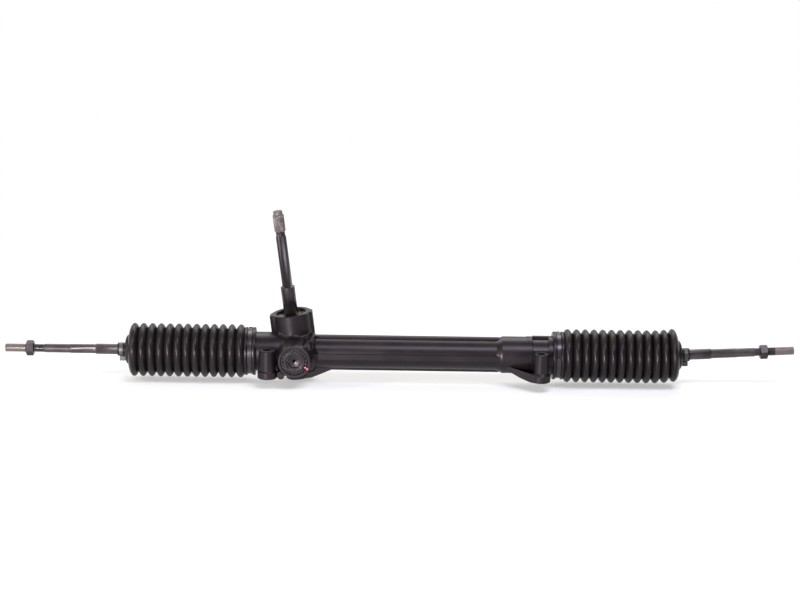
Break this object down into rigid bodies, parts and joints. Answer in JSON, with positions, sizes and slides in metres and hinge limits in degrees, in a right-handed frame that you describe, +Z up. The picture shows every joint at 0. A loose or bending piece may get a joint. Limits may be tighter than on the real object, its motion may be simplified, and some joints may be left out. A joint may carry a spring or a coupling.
{
  "type": "steering rack",
  "caption": "Manual rack-and-pinion steering gear with a ribbed cast housing, a leaning pinion shaft, a yoke adjuster, rubber bellows boots and threaded inner tie rods.",
  "frame": {"origin": "on the pinion-side mounting bolt's axis, at the seat face under its boss", "axes": "+X along the rack bar from the pinion side to the plain end, +Y from the bolts towards the rack bar, +Z up the bolt holes, towards the steering column's side"},
  "size_m": [1.1159, 0.0962, 0.2434],
  "materials": {
    "housing_black": "satin black paint over a die casting",
    "rubber_black": "matt black moulded rubber",
    "bare_steel": "ground and turned bare steel",
    "shaft_black": "satin black over turned steel",
    "spring_steel": "oiled dark spring steel",
    "plastic_black": "black nylon",
    "plastic_natural": "natural acetal",
    "bronze_bush": "sintered bronze"
  },
  "bodies": {
    "housing": {"housing": "housing_black", "bearing_outer_ring": "bare_steel", "bearing_seals": "rubber_black", "pinion_circlip": "spring_steel", "pinion_lower_bush": "bronze_bush", "yoke": "bare_steel", "yoke_ring": "rubber_black", "yoke_spring": "spring_steel", "adjuster_plug": "housing_black", "lock_ring": "housing_black", "rack_bush": "plastic_natural", "rack_bush_rings": "rubber_black", "left_boot": "rubber_black", "right_boot": "rubber_black", "left_boot_band": "shaft_black", "right_boot_band": "shaft_black"},
    "rack": {"rack_bar": "bare_steel", "left_lock_washer": "spring_steel", "right_lock_washer": "spring_steel", "left_ball_socket": "bare_steel", "right_ball_socket": "bare_steel"},
    "pinion": {"pinion_shaft": "shaft_black", "bearing_inner_ring": "bare_steel", "pinion_snap_ring": "spring_steel"},
    "bearing_cage": {"bearing_cage": "plastic_black", "bearing_balls": "bare_steel"},
    "left_ball_seat": {"left_ball_seat": "plastic_natural"},
    "left_tie_rod": {"left_tie_rod": "shaft_black", "left_lock_nut": "shaft_black", "left_boot_strap": "plastic_black"},
    "right_ball_seat": {"right_ball_seat": "plastic_natural"},
    "right_tie_rod": {"right_tie_rod": "shaft_black", "right_lock_nut": "shaft_black", "right_boot_strap": "plastic_black"}
  },
  "joints": [
    {"name": "rack_slide", "type": "slide", "parent": "housing", "child": "rack", "axis": [1, 0, 0], "range_m": [-0.07, 0.07], "deforming": ["left_boot", "right_boot"]},
    {"name": "pinion_turn", "type": "hinge", "parent": "housing", "child": "pinion", "pos_m": [0.038, 0.05073, 0.028], "axis": [-0.1305, 0, 0.9914], "range_deg": [-640, 640]},
    {"name": "bearing_cage_turn", "type": "hinge", "parent": "housing", "child": "bearing_cage", "pos_m": [0.038, 0.05073, 0.028], "axis": [-0.1305, 0, 0.9914], "range_deg": [-255, 255]},
    {"name": "left_rod_swing", "type": "hinge", "parent": "rack", "child": "left_ball_seat", "pos_m": [-0.138, 0.036, 0.028], "axis": [0, 0, 1], "range_deg": [-18, 18]},
    {"name": "left_rod_lift", "type": "hinge", "parent": "left_ball_seat", "child": "left_tie_rod", "pos_m": [-0.138, 0.036, 0.028], "axis": [0, 1, 0], "range_deg": [-18, 18]},
    {"name": "right_rod_swing", "type": "hinge", "parent": "rack", "child": "right_ball_seat", "pos_m": [0.522, 0.036, 0.028], "axis": [0, 0, 1], "range_deg": [-18, 18]},
    {"name": "right_rod_lift", "type": "hinge", "parent": "right_ball_seat", "child": "right_tie_rod", "pos_m": [0.522, 0.036, 0.028], "axis": [0, -1, 0], "range_deg": [-21.1, 14.9]}
  ],
  "couplings": [
    {"joint": "pinion_turn", "follows": "rack_slide", "rad_per_m": 159.4},
    {"joint": "bearing_cage_turn", "follows": "rack_slide", "rad_per_m": 63.373}
  ]
}
